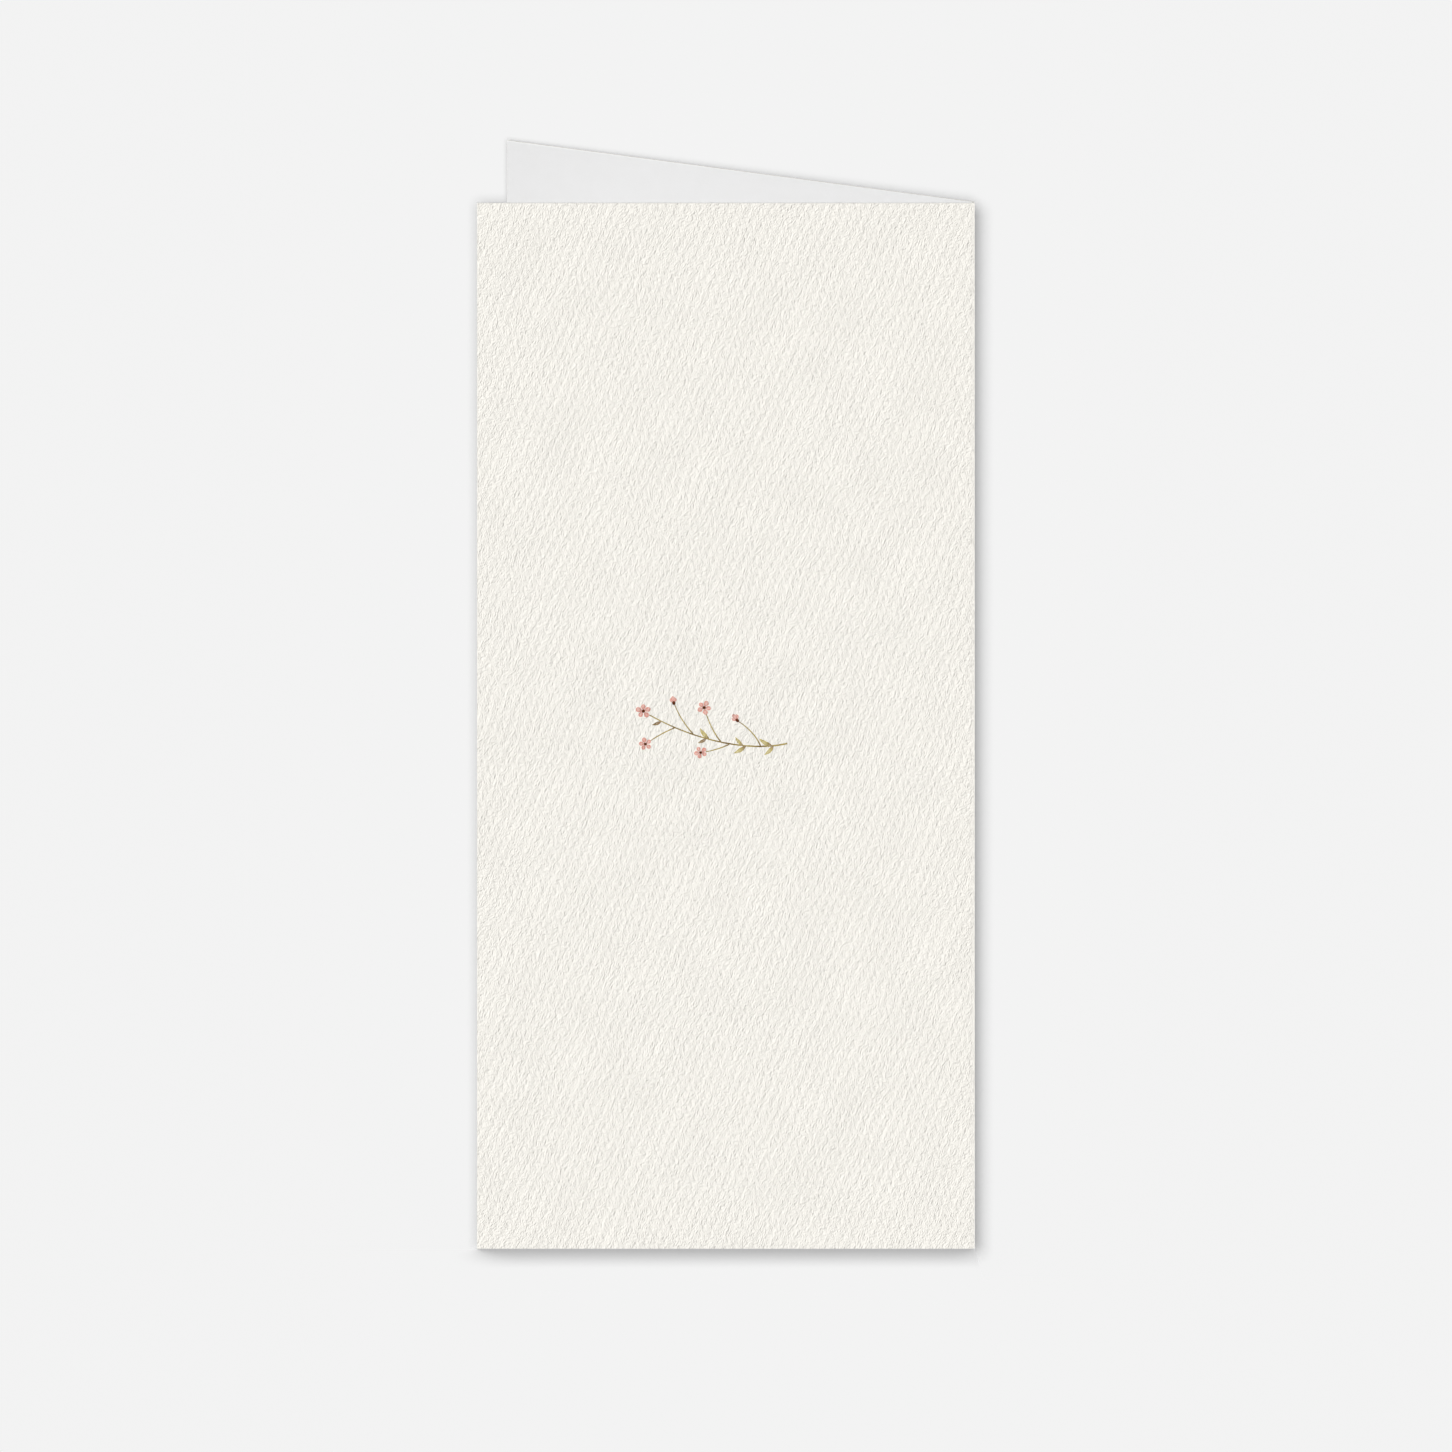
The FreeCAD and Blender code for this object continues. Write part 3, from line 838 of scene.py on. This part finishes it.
def stage_material(name, grey, light, seen_through=False):
    """To the camera, matt grey plus a glow, which make PALE under that much light, and past LAMPLIT plain
    PALE. To other rays, an even light like the sky's. Where it is seen through, it is nothing to other rays,
    nor to a camera behind it."""
    made = bpy.data.materials.new(name)
    made.use_nodes = True
    tree = made.node_tree
    tree.nodes.remove(tree.nodes["Principled BSDF"])
    glow = PALE - grey * (light + SKY)
    matt = node(tree, "ShaderNodeBsdfDiffuse", {"Color": (grey, grey, grey, 1)}).outputs[0]
    glowing, pale, to_others = [
        node(tree, "ShaderNodeEmission", {"Color": (level, level, level, 1)}).outputs[0]
        for level in (glow, PALE, SKY)]
    lit = node(tree, "ShaderNodeAddShader", {0: matt, 1: glowing}).outputs[0]
    place = node(tree, "ShaderNodeSeparateXYZ", {0: node(tree, "ShaderNodeTexCoord").outputs["Object"]})
    beyond = ramp(tree, maths(tree, "ABSOLUTE", place.outputs["X"]), *LAMPLIT)
    to_camera = node(tree, "ShaderNodeMixShader", {0: beyond, 1: lit, 2: pale}).outputs[0]
    seen = node(tree, "ShaderNodeLightPath").outputs["Is Camera Ray"]
    if seen_through:
        front = maths(tree, "SUBTRACT", 1.0, node(tree, "ShaderNodeNewGeometry").outputs["Backfacing"])
        seen = maths(tree, "MULTIPLY", seen, front)
        to_others = node(tree, "ShaderNodeBsdfTransparent").outputs[0]
    surface = node(tree, "ShaderNodeMixShader", {0: seen, 1: to_others, 2: to_camera}).outputs[0]
    tree.links.new(surface, tree.nodes["Material Output"].inputs["Surface"])
    made.cycles.emission_sampling = "NONE"  # not sampled as a lamp, which leaves less noise on the card
    print(name, "glow for the camera:", round(glow, 3))
    return made


print("sheets look pale under this much light:", FLOOR_LIGHT, REAR_LIGHT, WALL_LIGHT)

# %% Floor, backdrop and the sheets below them
FAR = 4.0
WALL_Y, WALL_FOOT = high.y + 30 * MM, -30 * MM  # the backdrop's place, and its foot below the floor
STEP_FOOT = -5 * MM  # its foot on the first step down, behind the fold
OPENING_Y = low.y - 20 * MM  # where the floor ends to the right of the card
FIN = 8 * MM  # how far to the right of the hidden floor the fin stands


def stage_sheet(name, corners, material):
    """One flat sheet that isn't part of the object."""
    piece = new_piece(name, np.array(corners, float), [list(range(len(corners)))], smooth=False)
    piece.data.materials.append(material)
    return piece


behind = (WALL_Y - low.y) * ALONG_SIGHT[0]  # how far a sight line moves along X from backdrop to card
hidden_left, hidden_right = low.x - behind, high.x - behind
floor = stage_sheet("floor", [
    (-FAR, -FAR, 0), (FAR, -FAR, 0), (FAR, OPENING_Y, 0), (high.x, OPENING_Y, 0), (high.x, low.y, 0),
    (-FAR, low.y, 0)], stage_material("pale_floor", GREY, FLOOR_LIGHT))
rear_floor = stage_sheet("rear floor", [
    (low.x, low.y, 0), (high.x, low.y, 0), (hidden_right, WALL_Y, 0), (hidden_left, WALL_Y, 0)],
    stage_material("pale_rear_floor", REAR_GREY, REAR_LIGHT))
wall = stage_sheet("backdrop", [
    (-FAR, WALL_Y, WALL_FOOT), (hidden_left, WALL_Y, WALL_FOOT), (hidden_left, WALL_Y, 0),
    (high.x, WALL_Y, 0), (high.x, WALL_Y, STEP_FOOT), (hidden_right, WALL_Y, STEP_FOOT),
    (hidden_right, WALL_Y, WALL_FOOT), (FAR, WALL_Y, WALL_FOOT), (FAR, WALL_Y, FAR), (-FAR, WALL_Y, FAR)],
    stage_material("pale_backdrop", GREY, WALL_LIGHT, seen_through=True))
unlit = stage_material("pale_skirt", GREY, 0.0)
stage_sheet("skirt", [
    (-FAR, OPENING_Y, -FAR), (FAR, OPENING_Y, -FAR), (FAR, OPENING_Y, 0), (-FAR, OPENING_Y, 0)], unlit)
stage_sheet("fin", [
    (high.x + FIN, low.y, WALL_FOOT), (high.x + FIN, low.y, 0), (hidden_right + FIN, WALL_Y, 0),
    (hidden_right + FIN, WALL_Y, WALL_FOOT)], unlit)
print("the backdrop stands", round((WALL_Y - high.y) / MM, 1), "mm behind the front leaf's free edge")

# %% World
world = bpy.data.worlds.new("studio")
bpy.context.scene.world = world
world.use_nodes = True
tree = world.node_tree
tree.nodes.remove(tree.nodes["Background"])
sky = node(tree, "ShaderNodeBackground", {"Color": (SKY, SKY, SKY, 1)})
seen = node(tree, "ShaderNodeBackground", {"Color": (PALE, PALE, PALE, 1)})
ray = node(tree, "ShaderNodeLightPath").outputs["Is Camera Ray"]
both = node(tree, "ShaderNodeMixShader", {0: ray, 1: sky.outputs[0], 2: seen.outputs[0]})
tree.links.new(both.outputs[0], tree.nodes["World Output"].inputs["Surface"])
bpy.context.scene.view_settings.view_transform = "Standard"
print("the sky gives", SKY, "of plain light and looks", PALE)

# %% [markdown]
# ## Lamps
# A surface that faces a sun lamp of strength pi shows its own colour, so each lamp is given as a share of
# that plain level. Light linking says what a lamp reaches. The key rakes over the card from the upper left
# and brings out the felt marks, and a weaker lamp fills in from the front. One from the right lights the
# fold, one behind the card lights the front leaf's outside, and one from behind on the left lights the
# inside. The last three don't reach the card: they only give the backdrop and the floor its shadow.

# %% Lamps as shares of plain light
card_lit = bpy.data.collections.new("lit card")
for piece in (card_sheet, sprig_stems, sprig_leaves, sprig_petals, sprig_hearts):
    card_lit.objects.link(piece)


def sun(name, towards, share, facing, softness, receivers):
    """A sun lamp in the direction of the vector towards, with the strength that gives a surface whose normal
    is facing that share of plain light. softness is its width in degrees."""
    to_lamp, facing = Vector(towards).normalized(), Vector(facing).normalized()
    light = bpy.data.lights.new(name, "SUN")
    light.energy = share * math.pi / to_lamp.dot(facing)
    light.angle = math.radians(softness)
    lamp = bpy.data.objects.new(name, light)
    bpy.context.scene.collection.objects.link(lamp)
    lamp.rotation_mode = "QUATERNION"
    lamp.rotation_quaternion = to_lamp.to_track_quat("Z", "Y")
    lamp.light_linking.receiver_collection = receivers
    lamp.light_linking.blocker_collection = card_lit
    print(name, "strength", round(light.energy, 2))


def reached(name, *objects):
    """A collection that only says which objects a lamp reaches."""
    made = bpy.data.collections.new(name)
    for reached_object in objects:
        made.objects.link(reached_object)
    return made


# %% The eight lamps
BACK_FACE, FRONT_FACE = (0, -1, 0), (math.sin(OPENING), math.cos(OPENING), 0)
HALO = 0.53  # the halo shadow's lamp's part of the light on the backdrop
behind_card = reached("lit behind the card", rear_floor, wall)
before_card = reached("lit before the card", floor)
for lamp in (  # name, direction, share, the surface it is meant for, width, what it reaches
        ("key", (-0.72, -0.60, 0.34), 0.465, BACK_FACE, 6, card_lit),
        ("front fill", (0.0, -1.0, 0.003), 0.28, BACK_FACE, 0.3, card_lit),
        ("fold light", (1.0, 0.12, 0.15), 0.85, (1, 0, 0), 2.5, card_lit),
        ("front leaf light", (-0.10, 0.95, 0.12), 0.25, FRONT_FACE, 12, card_lit),
        ("inside light", (-1.0, 0.5, 0.1), 0.18, (0, 1, 0), 6, card_lit),
        ("halo shadow", ALONG_SIGHT, HALO * WALL_LIGHT, (0, -1, 0), 3.1, behind_card),
        ("side shadow", (-0.105, -1.0, 0.31), (1 - HALO) * WALL_LIGHT, (0, -1, 0), 3.0, behind_card),
        ("foot shadow", (-0.006, 0.031, 1.0), FLOOR_LIGHT, (0, 0, 1), 3.9, before_card)):
    sun(*lamp)

# %% [markdown]
# ## Camera
# No turned camera looks along slanted parallel lines, and a camera lens shift doesn't do it either. So this
# camera is parented to an empty with a parent inverse that is sheared: right and up stay in line with the
# back leaf's edges, and backwards leans along the sight lines.

# %% Camera with slanted parallel sight lines
FRAME_SIZE = 291.6 * MM  # width or height of the picture, whichever is longer
CAMERA_AWAY = 1.0  # m from the back leaf to the camera, square to the leaf
camera_data = bpy.data.cameras.new("camera")
camera_data.type = "ORTHO"
camera_data.ortho_scale = FRAME_SIZE
camera_data.clip_start, camera_data.clip_end = 0.01, 20
camera = bpy.data.objects.new("camera", camera_data)
mount = bpy.data.objects.new("camera mount", None)
for made in (camera, mount):
    bpy.context.scene.collection.objects.link(made)
target = Vector((0, low.y, HEIGHT / 2))
sight = Vector((lean, -1.0, rise))
place = target + CAMERA_AWAY * sight
backwards = sight.normalized()
camera.parent = mount
camera.matrix_parent_inverse = Matrix((
    (1, 0, backwards.x, place.x), (0, 0, backwards.y, place.y), (0, 1, backwards.z, place.z), (0, 0, 0, 1)))
bpy.context.scene.camera = camera
print("camera at:", [round(length, 4) for length in place])
